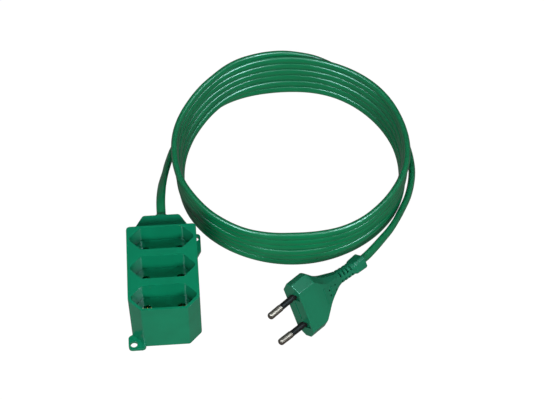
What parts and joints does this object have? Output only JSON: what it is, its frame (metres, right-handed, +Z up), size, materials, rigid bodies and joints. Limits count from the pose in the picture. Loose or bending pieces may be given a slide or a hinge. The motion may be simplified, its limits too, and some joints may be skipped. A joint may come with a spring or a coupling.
{
  "type": "extension cord",
  "caption": "Multi-way mains extension cord: a socket block with hexagonal recesses for flat two-pin plugs, a coiled flat two-core cord and a flat two-pin plug.",
  "frame": {"origin": "bottom centre of the socket block, midway between the outer edges of its two lugs", "axes": "+Z up from the block's base, +Y along the block towards its cord hood, +X to the right when the cord leaves away from the viewer"},
  "size_m": [0.1745, 0.1943, 0.039],
  "materials": {
    "block_plastic": "glossy moulded green",
    "cover_plastic": "glossy moulded green",
    "gland_plastic": "glossy moulded green",
    "plug_plastic": "glossy soft moulded green",
    "cord_sheath": "glossy flexible sheath",
    "insert_plastic": "matte",
    "sleeve_plastic": "semi-matte black",
    "pin_nickel": "nickel plated",
    "brass": "stamped",
    "zinc_steel": "zinc plated",
    "core_brown": "matte",
    "core_blue": "matte"
  },
  "bodies": {
    "root": {"socket_housing": "block_plastic", "base_cover": "cover_plastic", "housing_screws": "zinc_steel", "busbar_left": "brass", "busbar_right": "brass", "contact_left_1": "brass", "contact_left_2": "brass", "contact_left_3": "brass", "contact_right_1": "brass", "contact_right_2": "brass", "contact_right_3": "brass", "contact_rivets": "zinc_steel", "terminal_left": "brass", "terminal_right": "brass", "terminal_screws": "zinc_steel", "cord_gland": "gland_plastic", "cord_clamp": "cover_plastic", "clamp_screws": "zinc_steel", "cord_entry": "cord_sheath", "core_left": "core_brown", "core_right": "core_blue", "cord_lead": "cord_sheath", "cord_coil": "cord_sheath", "cord_tail": "cord_sheath", "plug_body": "plug_plastic", "plug_bridge": "insert_plastic", "plug_cord_end": "cord_sheath", "pin_upper": "pin_nickel", "pin_lower": "pin_nickel", "sleeve_upper": "sleeve_plastic", "sleeve_lower": "sleeve_plastic", "plug_crimp_upper": "brass", "plug_crimp_lower": "brass", "plug_core_upper": "core_brown", "plug_core_lower": "core_blue"}
  },
  "joints": []
}
